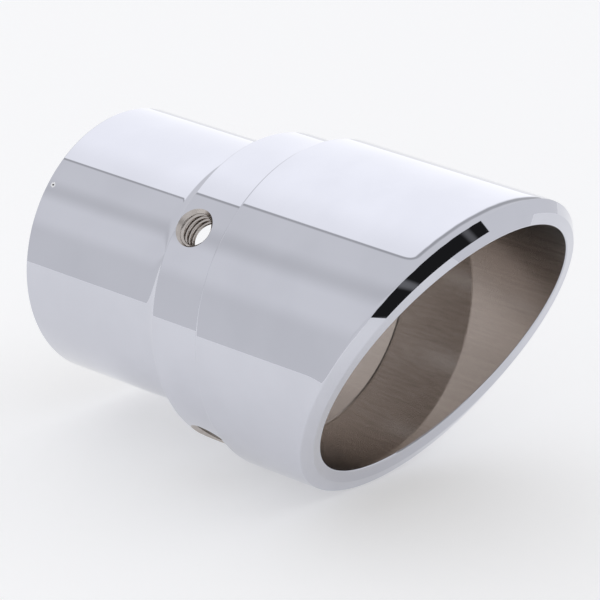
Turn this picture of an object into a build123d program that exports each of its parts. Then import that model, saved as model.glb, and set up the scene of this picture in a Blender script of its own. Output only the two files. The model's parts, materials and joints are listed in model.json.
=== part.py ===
from build123d import *
import os
from math import acos, atan, cos, degrees, radians, sin, tan

# Muffler end cap: a one-piece turned steel tip that slips over a muffler's outlet pipe.
# Millimetres. +X runs along the axis from the inlet to the outlet, and +Z is up.
# The origin is the centre of the inlet's end face, and the long side of the slash cut is on top.

# Pipe and inlet tube
PIPE_OD = 54.0  # outlet pipe that the cap slips over
PIPE_CLEARANCE = 0.2  # radial play on the pipe
TUBE_WALL = 1.3
TUBE_LENGTH = 41.7  # inlet end face to the collar's rear edge
TUBE_EDGE_BREAK = 0.3  # outer edge of the inlet end

# Collar that carries the set screws
COLLAR_WALL = 5.8
COLLAR_WIDTH = 13.9
COVE_RADIUS = 6.5  # flare from the tube up to the collar's rear edge
COLLAR_EDGE_ROUND = 0.4  # collar's rear edge

# Body and outlet
SHOULDER = 0.5  # step from the inlet bore out to the taper's small end
TAPER_RISE = 2.3  # what the taper gains in radius from the shoulder out to the outlet bore
MOUTH_LAND = 0.8  # plain bore between the taper and the rim's short side
BODY_WALL = 5.0
BODY_LENGTH = 35.8  # collar's front to the rim, on the sides
BODY_EDGE_ROUND = 0.8  # body's rear edge

# Slanted rim, cut square to the axis all round: at any angle its face runs straight out from the axis
SLASH_RISE = 18.5  # how far the long side stands in front of the sides, and the short side behind them
RIM_WIDTH = 2.5  # rim's face round the outlet bore
BEVEL_DEPTH = 1.7  # rim's face back to the bevel's outer edge, along the axis
MOUTH_EDGE_BREAK = 0.3  # inner edge of the rim

# Set-screw holes, tapped M8 x 1.25
SCREW_COUNT = 4
SCREW_START_ANGLE = 50.0  # first hole, in degrees from the top towards -Y
TAP_DRILL = 6.8
SINK_DIAMETER = 9.0  # countersink at the collar's surface
SINK_ANGLE = 90.0
SINK_MARGIN = 0.1  # collar's rear edge to the countersink's rim

# Radii, from the pipe outwards
inlet_r = PIPE_OD / 2 + PIPE_CLEARANCE
tube_r = inlet_r + TUBE_WALL
collar_r = inlet_r + COLLAR_WALL
taper_r = inlet_r + SHOULDER
outlet_r = taper_r + TAPER_RISE
rim_r = outlet_r + RIM_WIDTH
body_r = outlet_r + BODY_WALL

# Stations along the axis
collar_x = TUBE_LENGTH
body_x = collar_x + COLLAR_WIDTH
rim_x = body_x + BODY_LENGTH
taper_x = rim_x - SLASH_RISE - MOUTH_LAND
bevel_x = rim_x - BEVEL_DEPTH
stock_x = rim_x + 1.1 * SLASH_RISE
screw_x = collar_x + SINK_MARGIN + SINK_DIAMETER / 2


def turned(*corners: tuple[float, float]) -> Part:
    """Solid turned about the axis from (x, radius) corners, closed along the axis."""
    with BuildPart() as solid:
        with BuildSketch(Plane.XZ):
            with BuildLine():
                Polyline((corners[0][0], 0), *corners, (corners[-1][0], 0), close=True)
            make_face()
        revolve(axis=Axis.X)
    return solid.part


def turned_blank() -> Part:
    """Tube, cove, collar and body turned solid about the axis, before the slash cut and the bore."""
    flare = collar_r - tube_r
    cove_sweep = degrees(acos(1 - flare / COVE_RADIUS))
    cove_x = collar_x - COVE_RADIUS * sin(radians(cove_sweep))
    with BuildPart() as blank:
        with BuildSketch(Plane.XZ):
            with BuildLine():
                Polyline((0, 0), (0, tube_r), (cove_x, tube_r))
                JernArc((cove_x, tube_r), (1, 0), COVE_RADIUS, cove_sweep)
                Polyline(
                    (collar_x, collar_r),
                    (body_x, collar_r),
                    (body_x, body_r),
                    (stock_x, body_r),
                    (stock_x, 0),
                    (0, 0),
                )
            make_face()
        revolve(axis=Axis.X)
        chamfer(circle_at(blank, 0, tube_r), TUBE_EDGE_BREAK)
        fillet(circle_at(blank, collar_x, collar_r), COLLAR_EDGE_ROUND)
        fillet(circle_at(blank, body_x, body_r), BODY_EDGE_ROUND)
    return blank.part


def circle_at(blank: BuildPart, x: float, radius: float) -> Edge:
    """The turned edge of this radius whose plane crosses the axis nearest to x."""
    rings = blank.edges().filter_by(GeomType.CIRCLE)
    rings = rings.filter_by(lambda edge: abs(edge.radius - radius) < 1e-4)
    return rings.sort_by(lambda edge: abs(edge.arc_center.X - x))[0]


def slant_edge(x: float, radius: float) -> Edge:
    """Edge round a bar of this radius that crosses its sides at x and rises to the long side on top."""
    lean = atan(SLASH_RISE / radius)
    plane = Plane(origin=(x, 0, 0), x_dir=(0, 1, 0), z_dir=(cos(lean), 0, -sin(lean)))
    return Edge.make_ellipse(radius, radius / cos(lean), plane)


def slash_cutter() -> Part:
    """Everything in front of the bevel and the rim's face, which run straight out from edge to edge."""
    bevel_slope = BEVEL_DEPTH / (body_r - rim_r)
    clear = 0.2 * body_r
    outside = slant_edge(bevel_x - clear * bevel_slope, body_r + clear)
    ridge = slant_edge(rim_x, rim_r)
    inside = slant_edge(rim_x, outlet_r - clear)
    bevel = Face.make_surface_from_curves(outside, ridge)
    rim = Face.make_surface_from_curves(ridge, inside)
    run = Vector(4 * SLASH_RISE, 0, 0)
    return Part() + [Solid.extrude(bevel, run), Solid.extrude(rim, run)]


def bored(blank: Part) -> Part:
    """Bores the blank right through, with the taper in the body."""
    return blank - turned(
        (-1, inlet_r),
        (body_x, inlet_r),
        (body_x, taper_r),
        (taper_x, outlet_r),
        (stock_x + 1, outlet_r),
    )


def slash_cut(blank: Part) -> Part:
    """Cuts the outlet on the slant, with the bevel round the rim, and breaks the mouth's edge."""
    cap = blank - slash_cutter()
    slanted = cap.edges().filter_by(lambda edge: edge.bounding_box().size.X > SLASH_RISE)
    mouth = [edge for edge in slanted if abs(edge.bounding_box().size.Y - 2 * outlet_r) < 0.1]
    return chamfer(mouth, MOUTH_EDGE_BREAK)


def screw_hole() -> Part:
    """Cutter for one tapped hole: the tap drill with a countersink, along +Z at the screws' station."""
    sink_rise = body_r - collar_r
    sink_slope = tan(radians(SINK_ANGLE / 2))
    with BuildPart() as cutter:
        with Locations((screw_x, 0, inlet_r / 2)):
            Cylinder(TAP_DRILL / 2, body_r - inlet_r / 2, align=(Align.CENTER, Align.CENTER, Align.MIN))
        with Locations((screw_x, 0, collar_r + sink_rise)):
            Cone(
                0,
                SINK_DIAMETER / 2 + sink_rise * sink_slope,
                SINK_DIAMETER / 2 / sink_slope + sink_rise,
                align=(Align.CENTER, Align.CENTER, Align.MAX),
            )
    return cutter.part


def end_cap() -> Part:
    """The finished cap: turned, cut on the slant, bored and drilled."""
    cap = slash_cut(bored(turned_blank()))
    for index in range(SCREW_COUNT):
        turn = SCREW_START_ANGLE + index * 360 / SCREW_COUNT
        cap -= screw_hole().rotate(Axis.X, turn)
    return cap


os.makedirs("parts", exist_ok=True)
export_step(end_cap(), "parts/end_cap.step")
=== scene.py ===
"""Dresses the muffler end cap: mirror chrome outside, satin nickel in the bore and the tapped holes.

The cap is one piece of metal, so it is one closed skin that stands for the CAD solid. Laps of points
run round the axis, from the inlet end along the outer wall, over the slanted rim and back through the
bore, and the four tapped holes are let into it with their countersinks and thread turns. Every corner
of a face carries the true normal of the surface there, so the chrome reflects as a mirror does.

Lengths are in metres. x runs along the axis from the inlet end, and angles round the axis start at the
top and grow towards the side that faces the camera.
"""

import json
import logging
import math
from dataclasses import dataclass
from enum import IntEnum
from typing import Callable, NamedTuple

import bpy
import numpy as np
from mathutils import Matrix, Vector
from mathutils.geometry import delaunay_2d_cdt

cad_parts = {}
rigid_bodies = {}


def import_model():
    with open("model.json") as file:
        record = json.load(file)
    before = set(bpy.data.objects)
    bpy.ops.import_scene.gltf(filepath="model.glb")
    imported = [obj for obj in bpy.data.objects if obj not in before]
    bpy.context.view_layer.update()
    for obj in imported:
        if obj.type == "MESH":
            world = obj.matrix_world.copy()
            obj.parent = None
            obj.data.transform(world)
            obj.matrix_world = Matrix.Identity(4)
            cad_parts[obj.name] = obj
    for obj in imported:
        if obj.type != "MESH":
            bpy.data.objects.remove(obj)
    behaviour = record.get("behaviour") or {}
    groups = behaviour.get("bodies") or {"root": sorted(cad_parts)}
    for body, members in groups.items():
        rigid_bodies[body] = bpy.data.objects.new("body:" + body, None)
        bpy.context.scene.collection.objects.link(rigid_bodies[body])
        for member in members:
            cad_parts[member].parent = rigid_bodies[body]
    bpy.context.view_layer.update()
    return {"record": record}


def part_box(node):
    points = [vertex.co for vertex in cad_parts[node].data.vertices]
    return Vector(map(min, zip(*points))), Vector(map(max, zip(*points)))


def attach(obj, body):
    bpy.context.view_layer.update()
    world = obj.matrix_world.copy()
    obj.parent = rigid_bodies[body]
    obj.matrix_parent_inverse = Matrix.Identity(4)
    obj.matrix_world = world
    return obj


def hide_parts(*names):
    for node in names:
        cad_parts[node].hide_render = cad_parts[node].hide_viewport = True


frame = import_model()

log = logging.getLogger("end_cap")

Array = np.ndarray
Colour = tuple[float, float, float]
Feed = bpy.types.NodeSocket | float | tuple

MM = 0.001
NODE = "end_cap"
LAP_POINTS = 360
TURN = 2 * math.pi
QUARTER = math.pi / 2
AXIS = np.array([1.0, 0.0, 0.0])


class Zone(IntEnum):
    """Finish of a stretch of the skin, in the order of the piece's material slots."""

    CHROME = 0
    BORE = 1
    THREAD = 2


class Lap(NamedTuple):
    """One closed row of points round the axis, with the surface's normals there."""

    points: Array
    normals: Array


class HoleRim(NamedTuple):
    """Edge of a tapped hole in a wall: its ids in the skin, and its place on the wall laid flat."""

    ids: Array
    runs: Array
    angles: Array


def unit(vectors: Array) -> Array:
    """Scales each row to length one."""
    return vectors / np.linalg.norm(vectors, axis=-1, keepdims=True)


def lap_angles() -> Array:
    """Angles round the axis of a lap's points."""
    return np.arange(LAP_POINTS) * TURN / LAP_POINTS


def outwards(angles: Array) -> Array:
    """Directions straight out from the axis at these angles."""
    return np.stack([np.zeros_like(angles), -np.sin(angles), np.cos(angles)], axis=-1)


def angle_of(points: Array) -> Array:
    """Angles round the axis of these points, from 0 to a full turn."""
    return np.arctan2(-points[..., 1], points[..., 2]) % TURN


def edge_direction(points: Array) -> Array:
    """Unit tangents of a closed row of points."""
    return unit(np.roll(points, -1, axis=0) - np.roll(points, 1, axis=0))


def dots(first: Array, second: Array) -> Array:
    """Dot product of each pair of rows."""
    return np.sum(first * second, axis=-1)


def turned(rows: list[tuple[float, float, float, float]]) -> list[Lap]:
    """Spins rows of a section about the axis.

    Args:
        rows: station, radius, and the normal's parts along the axis and away from it.

    Returns:
        One lap for each row.
    """
    out = outwards(lap_angles())
    return [Lap(x * AXIS + r * out, nx * AXIS + nr * out) for x, r, nx, nr in rows]


def section_arc(
    centre: tuple[float, float], radius: float, start: float, end: float, steps: int
) -> list[Lap]:
    """Spins a convex arc of the section about the axis.

    Args:
        centre: station and radius of the arc's centre.
        radius: radius of the arc.
        start: lean of the first normal from straight out, towards +x, in radians.
        end: lean of the last normal.
        steps: facets across the arc.

    Returns:
        Laps from the first lean to the last.
    """
    rows = []
    for lean in np.linspace(start, end, steps + 1):
        nx, nr = math.sin(lean), math.cos(lean)
        rows.append((centre[0] + radius * nx, centre[1] + radius * nr, nx, nr))
    return turned(rows)


def round_over(
    corner: Array, back: Array, normal: Array, turn: Array, radius: Array, steps: int
) -> list[Lap]:
    """Rounds a convex edge that runs round the axis.

    Args:
        corner: points of the sharp edge.
        back: directions away from the edge along the first surface, square to the edge.
        normal: normals of the first surface.
        turn: angle between the two surfaces' normals, at each point.
        radius: radius of the round, at each point.
        steps: facets across the round.

    Returns:
        Laps from the first surface to the second.
    """
    reach = radius * np.tan(turn / 2)
    laps = []
    for share in np.linspace(0, 1, steps + 1):
        sine, cosine = np.sin(share * turn), np.cos(share * turn)
        along = (reach - radius * sine)[:, None] * back
        sunk = (radius * (cosine - 1))[:, None] * normal
        laps.append(Lap(corner + along + sunk, cosine[:, None] * normal - sine[:, None] * back))
    return laps


class Skin:
    """Gathers the cap's points, faces, corner normals and finishes into one closed mesh."""

    def __init__(self) -> None:
        """Starts with no points and no faces."""
        self.points: list[Array] = []
        self.count = 0
        self.faces: list[list[int]] = []
        self.normals: list[Array] = []
        self.zones: list[int] = []

    def add(self, points: Array) -> Array:
        """Adds points.

        Args:
            points: rows of coordinates.

        Returns:
            The new points' ids.
        """
        self.points.append(points)
        ids = np.arange(self.count, self.count + len(points))
        self.count += len(points)
        return ids

    def take(self, corners: Array, normals: Array, zone: Zone) -> None:
        """Adds faces with the same number of corners.

        Args:
            corners: ids of each face's corners.
            normals: the normal at each corner.
            zone: finish of the faces.
        """
        self.faces.extend(corners.tolist())
        self.normals.append(normals.reshape(-1, 3))
        self.zones.extend([int(zone)] * len(corners))

    def strip(self, first: Array, first_lap: Lap, last: Array, last_lap: Lap, zone: Zone) -> None:
        """Joins two closed rows of points with a belt of four-sided faces.

        Args:
            first: ids of the row where the belt starts.
            first_lap: that row's points and normals.
            last: ids of the row where it ends.
            last_lap: that row's points and normals.
            zone: finish of the belt.
        """
        nexts = np.roll(np.arange(len(first)), -1)
        corners = np.stack([first, first[nexts], last[nexts], last], axis=1)
        before, after = first_lap.normals, last_lap.normals
        normals = np.stack([before, before[nexts], after[nexts], after], axis=1)
        self.take(corners, normals, zone)

    def run(self, start: Array, laps: list[Lap], zone: Zone, close: Array | None = None) -> Array:
        """Adds a smooth stretch of wall, lap by lap.

        Args:
            start: ids of the first lap's points, which are already in the skin.
            laps: laps of the stretch.
            zone: finish of the stretch.
            close: ids of the last lap's points, where they are already in the skin.

        Returns:
            The ids of the last lap's points.
        """
        ids = start
        for index in range(1, len(laps)):
            at_end = close is not None and index == len(laps) - 1
            following = close if at_end else self.add(laps[index].points)
            self.strip(ids, laps[index - 1], following, laps[index], zone)
            ids = following
        return ids

    def triangles(self, corners: Array, normals: Array, zone: Zone) -> None:
        """Adds three-sided faces, turned to face the way that their normals point.

        Args:
            corners: ids of the corners, three in a row.
            normals: the normal at each corner.
            zone: finish of the faces.
        """
        places = np.concatenate(self.points)[corners]
        facing = np.cross(places[:, 1] - places[:, 0], places[:, 2] - places[:, 0])
        wrong = dots(facing, normals.sum(axis=1)) < 0
        corners[wrong] = corners[wrong][:, ::-1]
        normals[wrong] = normals[wrong][:, ::-1]
        self.take(corners, normals, zone)

    def piece(self, name: str) -> bpy.types.Object:
        """Makes the mesh object.

        Args:
            name: name of the piece.

        Returns:
            The object, linked to the scene.
        """
        mesh = bpy.data.meshes.new(name)
        mesh.from_pydata(np.concatenate(self.points).tolist(), [], self.faces)
        mesh.polygons.foreach_set("material_index", self.zones)
        mesh.shade_smooth()
        mesh.normals_split_custom_set(np.concatenate(self.normals).tolist())
        mesh.update()
        piece = bpy.data.objects.new(name, mesh)
        bpy.context.scene.collection.objects.link(piece)
        return piece


@dataclass
class TurnedBlank:
    """Tube, cove, collar and body as they are turned about the axis, before the slash cut."""

    inlet_radius: float
    body_start: float
    body_radius: float
    tube_wall: float = 1.3 * MM
    tube_length: float = 41.7 * MM
    tube_edge: float = 0.3 * MM
    inlet_edge: float = 0.2 * MM
    cove_radius: float = 6.5 * MM
    collar_wall: float = 5.8 * MM
    step_round: float = 0.4 * MM
    body_round: float = 0.8 * MM
    shoulder: float = 0.5 * MM
    shoulder_edge: float = 0.12 * MM
    taper_length: float = 16.5 * MM
    taper_rise: float = 2.3 * MM
    taper_blend: float = 5.0 * MM
    bore_edge_facets: int = 4
    tube_edge_facets: int = 5
    body_edge_facets: int = 6
    cove_laps: int = 15
    wall_laps: int = 9
    roll_laps: int = 17
    taper_laps: int = 9

    @property
    def tube_radius(self) -> float:
        """Outer radius of the tube."""
        return self.inlet_radius + self.tube_wall

    @property
    def collar_radius(self) -> float:
        """Outer radius of the collar."""
        return self.inlet_radius + self.collar_wall

    @property
    def outlet_radius(self) -> float:
        """Radius of the wider bore behind the mouth."""
        return self.inlet_radius + self.shoulder + self.taper_rise

    @property
    def cove_start(self) -> float:
        """Station where the tube starts to flare."""
        flare = self.collar_radius - self.tube_radius
        return self.tube_length - math.sqrt(self.cove_radius**2 - (self.cove_radius - flare) ** 2)

    @property
    def cove_lean(self) -> float:
        """Lean of the wall where the cove runs into the round of the collar's edge."""
        rise = self.tube_radius + self.cove_radius - self.collar_radius + self.step_round
        return math.acos(rise / (self.cove_radius + self.step_round))

    @property
    def collar_edge_centre(self) -> tuple[float, float]:
        """Station and radius of the centre of the round on the collar's rear edge."""
        reach = self.cove_radius + self.step_round
        return self.cove_start + reach * math.sin(self.cove_lean), self.collar_radius - self.step_round

    def inlet_end(self) -> list[list[Lap]]:
        """End face of the tube and the rounds of its two edges."""
        inner, outer = self.inlet_edge, self.tube_edge
        centre = (inner, self.inlet_radius + inner)
        first = section_arc(centre, inner, -math.pi, -QUARTER, self.bore_edge_facets)
        face = turned([
            (0.0, self.inlet_radius + inner, -1.0, 0.0),
            (0.0, self.tube_radius - outer, -1.0, 0.0),
        ])
        centre = (outer, self.tube_radius - outer)
        last = section_arc(centre, outer, -QUARTER, 0.0, self.tube_edge_facets)
        return [first, face, last]

    def tube_and_cove(self) -> list[list[Lap]]:
        """Plain tube, and the flare that rises from it to the collar."""
        tube = turned([
            (self.tube_edge, self.tube_radius, 0.0, 1.0),
            (self.cove_start / 2, self.tube_radius, 0.0, 1.0),
            (self.cove_start, self.tube_radius, 0.0, 1.0),
        ])
        rows = []
        for lean in np.linspace(0, self.cove_lean, self.cove_laps):
            x = self.cove_start + self.cove_radius * math.sin(lean)
            r = self.tube_radius + self.cove_radius * (1 - math.cos(lean))
            rows.append((x, r, -math.sin(lean), math.cos(lean)))
        return [tube, turned(rows)]

    def collar_wall_at(self, runs: Array, angles: Array) -> Lap:
        """Places points on the collar, measured from the start of its edge's round.

        Args:
            runs: lengths along the section, over the round and on along the collar.
            angles: angles round the axis.

        Returns:
            The points and normals there.
        """
        centre_x, centre_r = self.collar_edge_centre
        lean = np.clip(self.cove_lean - runs / self.step_round, 0, None)
        past = np.clip(runs - self.step_round * self.cove_lean, 0, None)
        x = centre_x - self.step_round * np.sin(lean) + past
        r = centre_r + self.step_round * np.cos(lean)
        out = outwards(angles)
        points = x[:, None] * AXIS + r[:, None] * out
        return Lap(points, np.cos(lean)[:, None] * out - np.sin(lean)[:, None] * AXIS)

    def collar_run(self, x: Array) -> Array:
        """Length along the section from the start of the collar edge's round to these stations."""
        centre_x, _ = self.collar_edge_centre
        lean = np.arcsin(np.clip((centre_x - x) / self.step_round, 0, 1))
        return self.step_round * (self.cove_lean - lean) + np.clip(x - centre_x, 0, None)

    def collar_radius_at(self, x: Array) -> Array:
        """Radius of the collar's surface at these stations, over the round of its edge as well."""
        centre_x, centre_r = self.collar_edge_centre
        behind = np.clip(centre_x - x, 0, self.step_round)
        return centre_r + np.sqrt(self.step_round**2 - behind**2)

    def step_to_body(self, start: float) -> list[list[Lap]]:
        """Rest of the collar, the step up to the body, and the round of the body's rear edge.

        Args:
            start: station where the collar is taken up.

        Returns:
            The three stretches.
        """
        collar = turned([
            (start, self.collar_radius, 0.0, 1.0),
            (self.body_start, self.collar_radius, 0.0, 1.0),
        ])
        edge = self.body_round
        face = turned([
            (self.body_start, self.collar_radius, -1.0, 0.0),
            (self.body_start, self.body_radius - edge, -1.0, 0.0),
        ])
        centre = (self.body_start + edge, self.body_radius - edge)
        return [collar, face, section_arc(centre, edge, -QUARTER, 0.0, self.body_edge_facets)]

    def body_wall(self, last: Lap, roll: float, lean: float) -> list[Lap]:
        """Body's outer wall, up to the lap where the rim's bevel starts.

        Args:
            last: first lap of the bevel's round.
            roll: length over which polishing has rolled the wall off before the bevel.
            lean: lean of the wall where the roll ends.

        Returns:
            Laps along the wall, plain first and then rolled off.
        """
        start = self.body_start + self.body_round
        begin = lap_angles()
        drift = (angle_of(last.points) - begin + math.pi) % TURN - math.pi
        end = last.points[:, 0]
        plain = np.linspace(0, 1, self.wall_laps)
        rolled = np.linspace(0, 1, self.roll_laps)[1:-1]
        stations = [start + share * (end - roll - start) for share in plain]
        stations += [end - roll * (1 - share) for share in rolled]
        laps = []
        for x in stations:
            into = np.clip(1 - (end - x) / roll, 0, 1)
            out = outwards(begin + (x - start) / (end - start) * drift)
            points = (self.body_radius - lean * roll * into**3 / 3)[:, None] * out
            points[:, 0] += x
            tilt = lean * into**2
            normals = np.cos(tilt)[:, None] * out
            normals[:, 0] += np.sin(tilt)
            laps.append(Lap(points, normals))
        return laps + [last]

    def outlet_bore(self, first: Lap) -> list[list[Lap]]:
        """Wider bore behind the mouth, the taper at its end, the shoulder, and the shoulder's edge.

        Args:
            first: last lap of the mouth's round.

        Returns:
            The stretches, from the mouth inwards.
        """
        lean = math.atan(self.taper_rise / self.taper_length)
        start = self.body_start + self.taper_length
        reach = self.taper_blend * math.tan(lean / 2)
        rows = []
        for part in np.linspace(0, lean, self.taper_laps):
            x = start + reach - self.taper_blend * math.sin(part)
            r = self.outlet_radius - self.taper_blend * (1 - math.cos(part))
            rows.append((x, r, math.sin(part), -math.cos(part)))
        small = self.inlet_radius + self.shoulder
        taper = turned(rows + [(self.body_start, small, math.sin(lean), -math.cos(lean))])
        edge = self.shoulder_edge
        face = turned([
            (self.body_start, small, 1.0, 0.0),
            (self.body_start, self.inlet_radius + edge, 1.0, 0.0),
        ])
        centre = (self.body_start - edge, self.inlet_radius + edge)
        corner = section_arc(centre, edge, QUARTER, math.pi, self.bore_edge_facets)
        return [[first, taper[0]], taper, face, corner]

    def inlet_bore(self, start: float, end: float) -> list[Lap]:
        """Plain stretch of the inlet bore between two stations."""
        return turned([(start, self.inlet_radius, 0.0, -1.0), (end, self.inlet_radius, 0.0, -1.0)])

    def inlet_wall_at(self, runs: Array, angles: Array) -> Lap:
        """Points and normals of the inlet bore, at runs that grow from the outlet side to the inlet."""
        out = outwards(angles)
        points = self.inlet_radius * out
        points[:, 0] -= runs
        return Lap(points, -out)


@dataclass
class SlashRim:
    """Slanted rim of the mouth: the bevel round its outer edge, its face, and its inner edge.

    The rim is cut square to the axis all round, so at any angle its face runs straight out from the
    axis.
    """

    blank: TurnedBlank
    on_sides: float = 91.4 * MM
    rise: float = 18.5 * MM
    face_width: float = 2.5 * MM
    bevel_depth: float = 1.7 * MM
    roll: float = 5.0 * MM
    roll_lean: float = 0.07
    wall_edge: float = 0.4 * MM
    wall_edge_wander: float = 0.12 * MM
    wander_waves: tuple[tuple[int, float], ...] = ((7, 0.4), (17, 2.1), (31, 4.4), (53, 1.3), (83, 5.2))
    wander_damping: float = 3.0
    scuff: float = 0.35 * MM
    scuff_at: float = math.radians(71)
    scuff_width: float = math.radians(9)
    ridge: float = 0.25 * MM
    mouth_edge: float = 0.3 * MM
    wall_facets: int = 6
    edge_facets: int = 5

    def edge_at(self, radius: float, back: float = 0.0) -> Array:
        """Slanted edge round a bar of this radius, set back along the axis."""
        angles = lap_angles()
        points = radius * outwards(angles)
        points[:, 0] = self.on_sides - back + self.rise * np.cos(angles)
        return points

    def wandering_edge(self) -> Array:
        """Radius of the round between the wall and the bevel, which hand polishing leaves uneven."""
        angles = lap_angles()
        wander = np.zeros_like(angles)
        for waves, phase in self.wander_waves:
            wander += np.sin(waves * angles + phase) / self.wander_damping
        near_scuff = np.exp(-(((angles - self.scuff_at) / self.scuff_width) ** 2))
        scuffed = self.scuff * near_scuff * (1 + wander)
        return self.wall_edge + self.wall_edge_wander * wander + scuffed

    @staticmethod
    def eased(edge: Array, before: Array, after: Array, radius: Array, steps: int) -> list[Lap]:
        """Rounds the edge between two ruled faces of the rim.

        Args:
            edge: points of the sharp edge.
            before: points of the face before the edge, one for each point of it.
            after: points of the face behind the edge.
            radius: radius of the round, at each point.
            steps: facets across the round.

        Returns:
            Laps from the first face to the second.
        """
        along = edge_direction(edge)
        back, onwards = before - edge, after - edge
        back = unit(back - dots(back, along)[:, None] * along)
        onwards = unit(onwards - dots(onwards, along)[:, None] * along)
        normal = unit(np.cross(along, back))
        normal = normal * -np.sign(dots(normal, onwards))[:, None]
        turn = np.arccos(np.clip(-dots(back, onwards), -1, 1))
        return round_over(edge, back, normal, turn, radius, steps)

    def stretches(self) -> list[list[Lap]]:
        """Lays out the rim from the outer wall to the bore.

        Returns:
            Stretches: round of the wall's edge, bevel, ridge, face, round of the mouth.
        """
        blank = self.blank
        wall = self.edge_at(blank.body_radius - self.roll_lean * self.roll / 3, self.bevel_depth)
        ridge = self.edge_at(blank.outlet_radius + self.face_width)
        mouth = self.edge_at(blank.outlet_radius)
        rolled = self.roll_lean * outwards(lap_angles()) - AXIS
        ridge_radius = np.full(LAP_POINTS, self.ridge)
        mouth_radius = np.full(LAP_POINTS, self.mouth_edge)
        wall_round = self.eased(wall, wall + rolled, ridge, self.wandering_edge(), self.wall_facets)
        ridge_round = self.eased(ridge, wall, mouth, ridge_radius, self.edge_facets)
        mouth_round = self.eased(mouth, ridge, mouth - AXIS, mouth_radius, self.edge_facets)
        bevel = [wall_round[-1], ridge_round[0]]
        face = [ridge_round[-1], mouth_round[0]]
        return [wall_round, bevel, ridge_round, face, mouth_round]


@dataclass
class TappedHole:
    """One tapped set-screw hole: a countersink, and thread turns down to the bore."""

    blank: TurnedBlank
    station: float
    angle: float
    drill_radius: float
    major_radius: float = 4.0 * MM
    pitch: float = 1.25 * MM
    crest_flat: float = 0.078 * MM
    flank_run: float = 0.346 * MM
    sink_radius: float = 4.5 * MM
    points_round: int = 96
    levels: int = 84
    search_above: float = 0.3 * MM
    search_below_collar: float = 2.0 * MM
    search_below_bore: float = 1.0 * MM
    halvings: int = 50

    def sink(self, height: Array) -> Array:
        """Radius of the countersink's cone at these heights above the cap's axis."""
        return self.sink_radius + height - self.blank.collar_radius

    def wall_radius(self, height: Array, bearing: Array) -> Array:
        """Radius of the hole's wall.

        Args:
            height: height above the cap's axis.
            bearing: angle round the hole.

        Returns:
            The radius, with the thread's groove and the countersink.
        """
        off_groove = np.abs((height / self.pitch + bearing / TURN + 0.5) % 1 - 0.5) * self.pitch
        fill = np.clip((self.crest_flat + self.flank_run - off_groove) / self.flank_run, 0, 1)
        thread = self.drill_radius + (self.major_radius - self.drill_radius) * fill
        return np.maximum(thread, self.sink(height))

    def place(self, height: Array, bearing: Array, radius: Array) -> Array:
        """Points of the hole's wall in the cap's frame."""
        out = outwards(np.array(self.angle))
        side = np.array([0.0, -math.cos(self.angle), -math.sin(self.angle)])
        points = height[..., None] * out + (radius * np.sin(bearing))[..., None] * side
        return points + (self.station + radius * np.cos(bearing))[..., None] * AXIS

    def meeting(self, bearing: Array, low: float, high: float, wall: Callable[[Array], Array]) -> Array:
        """Heights where the hole's wall meets a surface turned about the cap's axis.

        Args:
            bearing: angles round the hole.
            low: height below the meeting.
            high: height above it.
            wall: radius of the turned surface at a station.

        Returns:
            The height at each bearing.
        """
        below = np.full_like(bearing, low)
        above = np.full_like(bearing, high)
        for _ in range(self.halvings):
            middle = (below + above) / 2
            radius = self.wall_radius(middle, bearing)
            reach = np.hypot(radius * np.sin(bearing), middle)
            outside = reach > wall(self.station + radius * np.cos(bearing))
            above = np.where(outside, middle, above)
            below = np.where(outside, below, middle)
        return (below + above) / 2

    def build(self, skin: Skin) -> tuple[HoleRim, HoleRim]:
        """Adds the hole's wall to the skin.

        Args:
            skin: skin that the hole is let into.

        Returns:
            The hole's edges in the collar and in the bore.
        """
        blank = self.blank
        bearing = -np.arange(self.points_round) * TURN / self.points_round
        collar, bore = blank.collar_radius, blank.inlet_radius
        low, high = collar - self.search_below_collar, collar + self.search_above
        top = self.meeting(bearing, low, high, blank.collar_radius_at)
        low, high = bore - self.search_below_bore, bore + self.search_above
        foot = self.meeting(bearing, low, high, lambda x: np.full_like(x, bore))
        share = np.linspace(0, 1, self.levels + 1)[:, None]
        height = top + (foot - top) * share
        points = self.place(height, bearing, self.wall_radius(height, bearing))
        round_hole = np.roll(points, -1, axis=1) - np.roll(points, 1, axis=1)
        normals = unit(np.cross(np.gradient(points, axis=0), round_hole))
        middle = self.place(height, bearing, np.zeros_like(height))
        normals *= np.sign(dots(normals, middle - points))[..., None]
        laps = [Lap(points[level], normals[level]) for level in range(self.levels + 1)]
        mouth = skin.add(points[0])
        bottom = skin.run(mouth, laps, Zone.THREAD)
        collar_rim = HoleRim(mouth, blank.collar_run(points[0, :, 0]), angle_of(points[0]))
        bore_rim = HoleRim(bottom, -points[-1, :, 0], angle_of(points[-1]))
        return collar_rim, bore_rim


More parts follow.
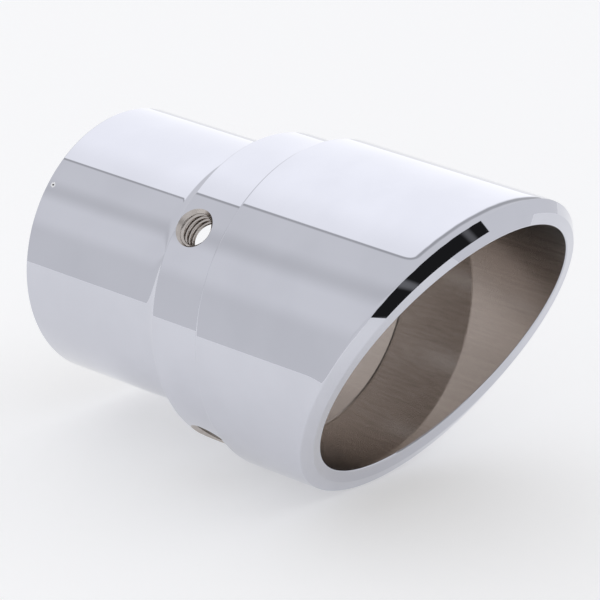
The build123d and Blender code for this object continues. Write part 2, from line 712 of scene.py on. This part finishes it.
@dataclass
class PiercedBelt:
    """A belt of wall that the tapped holes pierce, laid flat: run along the section by arc round it."""

    runs: Array
    radius: float
    wall: Callable[[Array, Array], Lap]
    clear: float = 0.3 * MM
    tolerance: float = 1e-7

    def flat(self, runs: Array, angles: Array) -> Array:
        """Places on the belt laid flat, in millimetres."""
        return np.stack([runs, self.radius * angles], axis=-1) / MM

    def clearance(self, flat: Array, rim: HoleRim) -> Array:
        """How far flat places lie outside a hole's edge, seen from the hole's middle.

        Args:
            flat: places on the belt laid flat.
            rim: the hole's edge.

        Returns:
            Distances in millimetres, negative inside the hole.
        """
        edge = self.flat(rim.runs, rim.angles)
        middle = edge.mean(axis=0)
        spoke, around = edge - middle, flat - middle
        bearing = np.arctan2(spoke[:, 1], spoke[:, 0])
        order = np.argsort(bearing)
        reach = np.interp(np.arctan2(around[:, 1], around[:, 0]), bearing[order],
                          np.linalg.norm(spoke, axis=1)[order], period=TURN)
        return np.linalg.norm(around, axis=1) - reach

    def build(self, skin: Skin, first: Array, last: Array, rims: list[HoleRim], zone: Zone) -> None:
        """Fills the belt between its two end laps and the holes' edges.

        Args:
            skin: skin that takes the faces.
            first: ids of the lap at the first run.
            last: ids of the lap at the last run.
            rims: edges of the holes, already in the skin.
            zone: finish of the belt.
        """
        angles = np.arange(LAP_POINTS + 1) * TURN / LAP_POINTS
        wrap = np.arange(LAP_POINTS + 1) % LAP_POINTS
        inner_runs = self.runs[1:-1]
        seam = skin.add(self.wall(inner_runs, np.zeros_like(inner_runs)).points)
        runs = [np.full_like(angles, self.runs[0]), np.full_like(angles, self.runs[-1])]
        turns, ids = [angles, angles], [first[wrap], last[wrap]]
        for angle in (0.0, TURN):
            runs.append(inner_runs)
            turns.append(np.full_like(inner_runs, angle))
            ids.append(seam)
        for rim in rims:
            runs.append(rim.runs)
            turns.append(rim.angles)
            ids.append(rim.ids)
        loose_runs, loose_angles = (grid.ravel() for grid in np.meshgrid(inner_runs, angles[1:-1]))
        places = self.flat(loose_runs, loose_angles)
        free = np.min([self.clearance(places, rim) for rim in rims], axis=0) > self.clear / MM
        runs.append(loose_runs[free])
        turns.append(loose_angles[free])
        ids.append(skin.add(self.wall(loose_runs[free], loose_angles[free]).points))

        lap, rows = LAP_POINTS + 1, len(inner_runs)
        left, right = 2 * lap, 2 * lap + rows
        fences = [(row + j, row + j + 1) for row in (0, lap) for j in range(LAP_POINTS)]
        for side, column in ((left, 0), (right, LAP_POINTS)):
            line = [column, *range(side, side + rows), lap + column]
            fences.extend(zip(line, line[1:]))
        at = right + rows
        for rim in rims:
            count = len(rim.ids)
            fences.extend((at + j, at + (j + 1) % count) for j in range(count))
            at += count

        all_runs, all_angles, all_ids = np.concatenate(runs), np.concatenate(turns), np.concatenate(ids)
        flat = self.flat(all_runs, all_angles)
        places = [Vector(place) for place in flat]
        _, _, faces, sources, _, _ = delaunay_2d_cdt(places, fences, [], 0, self.tolerance)
        source = np.array([origin[0] for origin in sources])
        corners = source[np.array(faces)]
        middles = flat[corners].mean(axis=1)
        solid = np.min([self.clearance(middles, rim) for rim in rims], axis=0) > 0
        corners = corners[solid]
        normals = self.wall(all_runs, all_angles).normals
        skin.triangles(all_ids[corners], normals[corners], zone)


class Wiring:
    """Short hand for adding nodes to a material's or the world's node tree."""

    def __init__(self, tree: bpy.types.NodeTree) -> None:
        """Empties the tree."""
        self.tree = tree
        tree.nodes.clear()

    def add(
        self, kind: str, feeds: dict[str | int, Feed] | None = None, **settings: object
    ) -> bpy.types.Node:
        """Adds a node.

        Args:
            kind: node type, without its common first part.
            feeds: values or sockets for its inputs, by name or number.
            settings: the node's own properties.

        Returns:
            The node.
        """
        node = self.tree.nodes.new("ShaderNode" + kind)
        for name, value in settings.items():
            setattr(node, name, value)
        for socket, value in (feeds or {}).items():
            if isinstance(value, bpy.types.NodeSocket):
                self.tree.links.new(value, node.inputs[socket])
            else:
                node.inputs[socket].default_value = value
        return node

    def maths(self, operation: str, first: Feed, second: Feed) -> bpy.types.NodeSocket:
        """Result of one sum on two values."""
        return self.add("Math", {0: first, 1: second}, operation=operation).outputs[0]

    def dot(self, vector: Feed, direction: Feed) -> bpy.types.NodeSocket:
        """Dot product of two vectors."""
        feeds = {0: vector, 1: direction}
        return self.add("VectorMath", feeds, operation="DOT_PRODUCT").outputs["Value"]

    def ramp(
        self, value: Feed, start: float, end: float, low: Feed = 0.0, high: Feed = 1.0
    ) -> bpy.types.NodeSocket:
        """Smooth change from low at start to high at end, level outside them."""
        feeds = {"Value": value, "From Min": start, "From Max": end, "To Min": low, "To Max": high}
        return self.add("MapRange", feeds, interpolation_type="SMOOTHSTEP").outputs[0]

    def blend(self, share: Feed, first: Feed, second: Feed) -> bpy.types.NodeSocket:
        """Mix of two colours."""
        feeds = {0: share, 6: first, 7: second}
        return self.add("Mix", feeds, data_type="RGBA").outputs[2]

    def mix(self, share: Feed, first: Feed, second: Feed) -> bpy.types.NodeSocket:
        """Mix of two values."""
        return self.add("Mix", {0: share, 2: first, 3: second}, data_type="FLOAT").outputs[0]

    def noise(self, vector: Feed, scale: float, detail: float = 2.0) -> bpy.types.NodeSocket:
        """Cloudy value from 0 to 1."""
        return self.add("TexNoise", {"Vector": vector, "Scale": scale, "Detail": detail}).outputs[0]

    def stretched(self, vector: Feed, scale: tuple[float, float, float]) -> bpy.types.NodeSocket:
        """Coordinates stretched along each axis."""
        return self.add("Mapping", {"Vector": vector, "Scale": scale}).outputs[0]

    def metal(self, colour: Feed, rough: Feed, bump: bpy.types.Node) -> None:
        """Ends a material's wiring as bare metal.

        Args:
            colour: colour of the metal.
            rough: its roughness.
            bump: node that gives its fine relief.
        """
        shader = self.add("BsdfPrincipled", {
            "Base Color": colour, "Metallic": 1.0, "Roughness": rough, "Normal": bump.outputs[0],
        })
        self.add("OutputMaterial", {"Surface": shader.outputs[0]})


def new_material(name: str) -> tuple[bpy.types.Material, Wiring]:
    """Starts a material, and the wiring of its empty node tree."""
    material = bpy.data.materials.new(name)
    material.use_nodes = True
    return material, Wiring(material.node_tree)


def rgba(colour: Colour) -> tuple[float, float, float, float]:
    """Colour with full cover."""
    return (*colour, 1.0)


@dataclass(frozen=True)
class ChromeFinish:
    """Mirror chrome plate: faint polishing lines, thin clouding, and a small dented nick by the inlet
    end, painted pale as a painted highlight with a near-black core of painted shade.
    """

    name: str = "chrome_mirror"
    bright: Colour = (0.652, 0.66, 0.715)
    dull: Colour = (0.628, 0.636, 0.69)
    smooth: float = 0.012
    hazed: float = 0.045
    cloud_scale: float = 55.0
    line_stretch: tuple[float, float, float] = (3200.0, 60.0, 60.0)
    line_relief: float = 0.02
    bump: float = 0.25
    relief: float = 0.05 * MM
    nick_at: tuple[float, float, float] = (1.7 * MM, -21.8 * MM, 18.3 * MM)
    nick_stretch: tuple[float, float, float] = (0.55, 1.0, 1.0)
    nick_size: float = 0.55 * MM
    nick_core: float = 0.55
    nick_grain: float = 1500.0
    nick_rough: float = 0.45
    # Pale colour of the nick: a painted highlight, brighter than the chrome round it
    nick_highlight_colour: Colour = (0.95, 0.95, 0.96)
    # Sizes and colour of the near-black core painted into the nick: painted shade in its hollow
    pit_shade_edge: float = 0.35
    pit_shade_core: float = 0.2
    pit_shade_colour: Colour = (0.05, 0.045, 0.04)

    def material(self) -> bpy.types.Material:
        """Builds the material."""
        material, wiring = new_material(self.name)
        place = wiring.add("TexCoord").outputs["Object"]
        cloud = wiring.noise(place, self.cloud_scale, 3.0)
        lines = wiring.noise(wiring.stretched(place, self.line_stretch), 1.0, 3.0)
        smear = wiring.maths("MULTIPLY", cloud, lines)
        haze = wiring.ramp(smear, 0.15, 0.5, self.smooth, self.hazed)

        away = wiring.add("VectorMath", {0: place, 1: self.nick_at}, operation="SUBTRACT").outputs[0]
        away = wiring.stretched(away, self.nick_stretch)
        ragged = wiring.ramp(wiring.noise(place, self.nick_grain), 0.2, 0.8, 0.6, 1.5)
        far = wiring.add("VectorMath", {0: away}, operation="LENGTH").outputs["Value"]
        far = wiring.maths("MULTIPLY", far, ragged)
        # Mask of the nick: it dents and roughens the chrome, and carries the nick's painted highlight
        nick_and_highlight = wiring.ramp(far, self.nick_size, self.nick_core * self.nick_size)
        # Painted shade: mask of the near-black core in the middle of the nick
        pit_shade = wiring.ramp(far, self.pit_shade_edge * self.nick_size, self.pit_shade_core * self.nick_size)

        colour = wiring.blend(wiring.ramp(cloud, 0.35, 0.65), rgba(self.dull), rgba(self.bright))
        # Painted highlight: the nick is painted pale over the chrome's colour
        colour = wiring.blend(nick_and_highlight, colour, rgba(self.nick_highlight_colour))
        # Painted shade at the nick's core
        colour = wiring.blend(pit_shade, colour, rgba(self.pit_shade_colour))
        rough = wiring.maths("MAXIMUM", haze, wiring.maths("MULTIPLY", nick_and_highlight, self.nick_rough))
        height = wiring.maths("SUBTRACT", wiring.maths("MULTIPLY", lines, self.line_relief), nick_and_highlight)
        bump = wiring.add("Bump", {"Strength": self.bump, "Distance": self.relief, "Height": height})
        wiring.metal(colour, rough, bump)
        return material


@dataclass(frozen=True)
class NickelFinish:
    """Satin nickel plate under the chrome, drawn out in streaks along the axis."""

    name: str
    light: Colour
    dark: Colour
    smooth: float
    rough: float
    streaks: tuple[float, float, float]
    relief: float
    bump: float = 0.3
    cloud_scale: float = 90.0
    streak_share: float = 0.6
    cloud_share: float = 0.4

    def material(self) -> bpy.types.Material:
        """Builds the material."""
        material, wiring = new_material(self.name)
        place = wiring.add("TexCoord").outputs["Object"]
        streak = wiring.noise(wiring.stretched(place, self.streaks), 1.0, 4.0)
        cloud = wiring.noise(place, self.cloud_scale, 4.0)
        shade = wiring.maths(
            "ADD",
            wiring.maths("MULTIPLY", streak, self.streak_share),
            wiring.maths("MULTIPLY", cloud, self.cloud_share),
        )
        colour = wiring.blend(wiring.ramp(shade, 0.3, 0.7), rgba(self.dark), rgba(self.light))
        rough = wiring.ramp(streak, 0.3, 0.7, self.smooth, self.rough)
        bump = wiring.add("Bump", {"Strength": self.bump, "Distance": self.relief, "Height": streak})
        wiring.metal(colour, rough, bump)
        return material


BORE_NICKEL = NickelFinish(
    name="nickel_bore",
    light=(0.63, 0.585, 0.55),
    dark=(0.575, 0.53, 0.50),
    smooth=0.22,
    rough=0.27,
    streaks=(30.0, 1500.0, 1500.0),
    relief=0.004 * MM,
)
THREAD_NICKEL = NickelFinish(
    name="nickel_thread",
    light=(0.60, 0.56, 0.53),
    dark=(0.48, 0.44, 0.41),
    smooth=0.12,
    rough=0.24,
    streaks=(900.0, 900.0, 900.0),
    relief=0.01 * MM,
)


@dataclass
class EndCap:
    """The whole cap: turned blank, slanted rim and tapped holes in one skin."""

    blank: TurnedBlank
    rim: SlashRim
    holes: list[TappedHole]
    collar_belt_end: float = 52.2 * MM
    bore_belt: tuple[float, float] = (51.6 * MM, 41.0 * MM)
    belt_row: float = 0.62 * MM
    collar_edge_rows: int = 6

    @classmethod
    def from_frame(cls) -> "EndCap":
        """Takes the cap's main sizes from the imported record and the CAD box."""
        mounts = frame["record"]["mounts"]
        inlet = next(mount for mount in mounts if mount["kind"] == "bore")
        low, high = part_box(NODE)
        blank = TurnedBlank(
            inlet_radius=inlet["dims"]["r_mm"] * MM,
            body_start=inlet["dims"]["length_mm"] * MM,
            body_radius=min(high.y, high.z, -low.y, -low.z),
        )
        holes = []
        for mount in mounts:
            if mount["kind"] == "threaded_hole":
                angle = float(angle_of(np.array(mount["axis"])))
                drill_radius = mount["dims"]["r_mm"] * MM
                holes.append(TappedHole(blank, mount["pos_m"][0], angle, drill_radius))
        return cls(blank, SlashRim(blank), holes)

    def build(self) -> bpy.types.Object:
        """Builds the skin and makes it stand for the CAD solid.

        Returns:
            The piece.
        """
        skin = Skin()
        collar_rims, bore_rims = map(list, zip(*(hole.build(skin) for hole in self.holes)))

        rear = self.blank.inlet_end()
        start = ids = skin.add(rear[0][0].points)
        ids = skin.run(ids, rear[0], Zone.BORE)
        for stretch in rear[1:] + self.blank.tube_and_cove():
            ids = skin.run(ids, stretch, Zone.CHROME)

        belt_end = self.blank.collar_run(np.array(self.collar_belt_end))
        onto = self.blank.step_round * self.blank.cove_lean
        rows = round((belt_end - onto) / self.belt_row)
        over_edge = np.linspace(0, onto, self.collar_edge_rows)
        along = np.linspace(onto, belt_end, rows + 1)[1:]
        runs = np.concatenate([over_edge, along])
        collar = PiercedBelt(runs, self.blank.collar_radius, self.blank.collar_wall_at)
        step = self.blank.step_to_body(self.collar_belt_end)
        onwards = skin.add(step[0][0].points)
        collar.build(skin, ids, onwards, collar_rims, Zone.CHROME)

        rim = self.rim.stretches()
        ids = onwards
        body = self.blank.body_wall(rim[0][0], self.rim.roll, self.rim.roll_lean)
        for stretch in step + [body] + rim:
            ids = skin.run(ids, stretch, Zone.CHROME)
        for stretch in self.blank.outlet_bore(rim[-1][-1]):
            ids = skin.run(ids, stretch, Zone.BORE)

        belt_start, belt_stop = self.bore_belt
        shoulder = self.blank.body_start - self.blank.shoulder_edge
        ids = skin.run(ids, self.blank.inlet_bore(shoulder, belt_start), Zone.BORE)
        rows = round((belt_start - belt_stop) / self.belt_row)
        runs = np.linspace(-belt_start, -belt_stop, rows + 1)
        bore = PiercedBelt(runs, self.blank.inlet_radius, self.blank.inlet_wall_at)
        rest = self.blank.inlet_bore(belt_stop, self.blank.inlet_edge)
        onwards = skin.add(rest[0].points)
        bore.build(skin, ids, onwards, bore_rims, Zone.BORE)
        skin.run(onwards, rest, Zone.BORE, close=start)

        piece = skin.piece("end_cap_skin")
        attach(piece, "root")
        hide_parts(NODE)
        return piece

    def dress(self, piece: bpy.types.Object) -> None:
        """Gives the skin its finishes, in the order of its zones."""
        for finish in (ChromeFinish(), BORE_NICKEL, THREAD_NICKEL):
            piece.data.materials.append(finish.material())


@dataclass
class Studio:
    """Light room that the cap lies in: pale floor, softbox at the left, dark front, and the camera.

    Directions into the room are unit vectors. Pairs of numbers are where a soft edge starts and ends.
    """

    floor_height: float
    sheet_x: tuple[float, float] = (-0.80, 0.195)
    sheet_y: tuple[float, float] = (-0.15, 0.80)
    floor_shade: float = 0.75
    floor_lift: float = 0.36
    light_colour: Colour = (0.965, 0.97, 1.0)
    wall: float = 0.82
    ceiling: float = 0.70
    ceiling_turn: tuple[float, float] = (math.radians(30), math.radians(42))
    side: float = 0.86
    side_turn: tuple[float, float] = (math.radians(42), math.radians(54))
    table_gap: float = 0.76
    table_turn: tuple[float, float] = (math.radians(66), math.radians(80))
    banded_half: tuple[float, float] = (0.1, -0.3)
    softbox: float = 1.30
    softbox_edge: float = 1.17
    softbox_facing: tuple[float, float, float] = (0.128, 0.951, 0.284)
    softbox_reach: tuple[float, float] = (-0.02, 0.32)
    softbox_end: float = -0.60
    softbox_rear: tuple[float, float] = (-0.80, -0.74)
    softbox_corner: float = 0.04
    softbox_blur: float = 0.006
    seam: float = 0.50
    seam_outside: tuple[float, float] = (-0.03, -0.014)
    seam_inside: tuple[float, float] = (0.006, -0.004)
    front: float = 0.015
    front_facing: tuple[float, float, float] = (0.3795, -0.925, 0.0)
    front_side: tuple[float, float] = (0.0, 0.015)
    front_ahead: tuple[float, float] = (0.73, 0.765)
    front_top: tuple[float, float] = (0.70, 0.60)
    spots: tuple[tuple[tuple[float, float, float], float, float], ...] = (
        ((0.86, 0.10, 0.50), 0.09, 0.14),
        ((0.89, -0.46, -0.04), 0.08, 0.17),
    )
    spot_core: float = 0.4
    azimuth: float = math.radians(43.713)
    elevation: float = math.radians(21.117)
    distance: float = 0.9975
    target: tuple[float, float, float] = (0.04141, 0.01060, -0.00571)
    lens: float = 287.4
    sensor: float = 36.0

    def shown_ray(self, wiring: Wiring) -> bpy.types.NodeSocket:
        """1 for rays that show the surroundings, in the camera, in metal or through glass."""
        path = wiring.add("LightPath").outputs
        seen = wiring.maths("MAXIMUM", path["Is Camera Ray"], path["Is Glossy Ray"])
        return wiring.maths("MAXIMUM", seen, path["Is Transmission Ray"])

    def build_floor(self) -> bpy.types.Object:
        """Lays the pale floor under the cap.

        Returns:
            The floor.
        """
        (left, right), (near, far) = self.sheet_x, self.sheet_y
        outline = ((left, near), (right, near), (right, far), (left, far))
        mesh = bpy.data.meshes.new("floor")
        mesh.from_pydata([(x, y, self.floor_height) for x, y in outline], [], [(0, 1, 2, 3)])
        floor = bpy.data.objects.new("floor", mesh)
        bpy.context.scene.collection.objects.link(floor)
        material, wiring = new_material("pale_paper")
        paper = wiring.add("BsdfDiffuse", {"Color": rgba((self.floor_shade,) * 3)})
        lift = wiring.maths("MULTIPLY", self.shown_ray(wiring), self.floor_lift)
        glow = wiring.add("Emission", {"Color": rgba((1.0, 1.0, 1.0)), "Strength": lift})
        both = wiring.add("AddShader", {0: paper.outputs[0], 1: glow.outputs[0]})
        wiring.add("OutputMaterial", {"Surface": both.outputs[0]})
        mesh.materials.append(material)
        return floor

    def softbox_depth(self, wiring: Wiring, toward: bpy.types.NodeSocket) -> bpy.types.NodeSocket:
        """How far a direction lies inside the softbox, which has rounded corners.

        Args:
            wiring: the world's wiring.
            toward: direction looked in.

        Returns:
            The depth, negative outside the softbox.
        """
        along = wiring.dot(toward, (1.0, 0.0, 0.0))
        corner = self.softbox_corner
        low = wiring.maths("SUBTRACT", wiring.dot(toward, self.softbox_facing), self.softbox_reach[0])
        end = wiring.maths("SUBTRACT", self.softbox_end, along)
        short = [
            wiring.maths("MAXIMUM", wiring.maths("SUBTRACT", corner, side), 0.0) for side in (low, end)
        ]
        squares = [wiring.maths("MULTIPLY", side, side) for side in short]
        reach = wiring.maths("POWER", wiring.maths("ADD", *squares), 0.5)
        return wiring.maths("SUBTRACT", corner, reach)

    def build_tent(self) -> bpy.types.World:
        """Lights the cap from a white room, with a softbox at the left and the dark room in front.

        Returns:
            The world.
        """
        world = bpy.data.worlds.new("light_room")
        bpy.context.scene.world = world
        world.use_nodes = True
        wiring = Wiring(world.node_tree)
        toward = wiring.add("TexCoord").outputs["Generated"]
        axes = wiring.add("SeparateXYZ", {0: toward}).outputs
        towards_front = wiring.maths("MULTIPLY", axes["Y"], -1.0)
        turn = wiring.maths("ARCTAN2", towards_front, axes["Z"])
        left_half = wiring.ramp(axes["X"], *self.banded_half)

        # Walls and ceiling, in soft bands round the cap's axis
        level = wiring.ramp(turn, *self.ceiling_turn, self.wall, self.ceiling)
        level = wiring.mix(wiring.ramp(turn, *self.side_turn), level, self.side)
        level = wiring.mix(wiring.ramp(turn, *self.table_turn), level, self.table_gap)
        level = wiring.mix(left_half, self.wall, level)

        # Softbox, brighter away from its lower edge, with a dark seam round it
        depth = self.softbox_depth(wiring, toward)
        rear_end = wiring.ramp(axes["X"], *self.softbox_rear)
        inside = wiring.ramp(depth, -self.softbox_blur, self.softbox_blur)
        lit = wiring.maths("MULTIPLY", inside, rear_end)
        facing = wiring.dot(toward, self.softbox_facing)
        glow = wiring.ramp(facing, *self.softbox_reach, self.softbox_edge, self.softbox)
        seam_edges = [wiring.ramp(depth, *edge) for edge in (self.seam_outside, self.seam_inside)]
        seam = wiring.maths("MULTIPLY", *seam_edges)
        level = wiring.mix(wiring.maths("MULTIPLY", seam, rear_end), level, self.seam)
        level = wiring.mix(lit, level, glow)

        # Dark front of the room, with two faint spots in it
        ahead = wiring.ramp(wiring.dot(toward, self.front_facing), *self.front_side)
        ahead = wiring.maths("MULTIPLY", ahead, wiring.ramp(axes["X"], *self.front_ahead))
        ahead = wiring.maths("MULTIPLY", ahead, wiring.ramp(axes["Z"], *self.front_top))
        level = wiring.mix(ahead, level, self.front)
        for spot, size, strength in self.spots:
            feeds = {0: toward, 1: spot}
            near = wiring.add("VectorMath", feeds, operation="DISTANCE").outputs["Value"]
            level = wiring.mix(wiring.ramp(near, size, self.spot_core * size), level, strength)

        light = wiring.add("Background", {"Color": rgba(self.light_colour), "Strength": level})
        wiring.add("OutputWorld", {"Surface": light.outputs[0]})
        return world

    def build_camera(self) -> bpy.types.Object:
        """Sets up the camera at the photograph's viewing angle.

        Returns:
            The camera.
        """
        data = bpy.data.cameras.new("camera")
        data.lens = self.lens
        data.sensor_width = self.sensor
        data.clip_end = 100.0
        camera = bpy.data.objects.new("camera", data)
        level = math.cos(self.elevation)
        back = Vector((
            math.sin(self.azimuth) * level,
            -math.cos(self.azimuth) * level,
            math.sin(self.elevation),
        ))
        camera.location = Vector(self.target) + self.distance * back
        camera.rotation_euler = back.to_track_quat("Z", "Y").to_euler()
        bpy.context.scene.collection.objects.link(camera)
        bpy.context.scene.camera = camera
        return camera


def report(thing: bpy.types.ID, what: str) -> None:
    """Logs a finished piece."""
    log.info("%s: %s", thing.name, what)


def main() -> None:
    """Builds the cap and its studio."""
    logging.basicConfig(level=logging.INFO, format="%(name)s %(message)s")
    bpy.context.scene.view_settings.view_transform = "Standard"
    low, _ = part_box(NODE)
    studio = Studio(floor_height=low.z)
    report(studio.build_camera(), "camera at the photograph's angle")
    report(studio.build_floor(), "floor")
    report(studio.build_tent(), "studio light")

    cap = EndCap.from_frame()
    piece = cap.build()
    cap.dress(piece)
    report(piece, f"{len(piece.data.polygons)} faces, {len(cap.holes)} tapped holes")


if __name__ == "__main__":
    main()
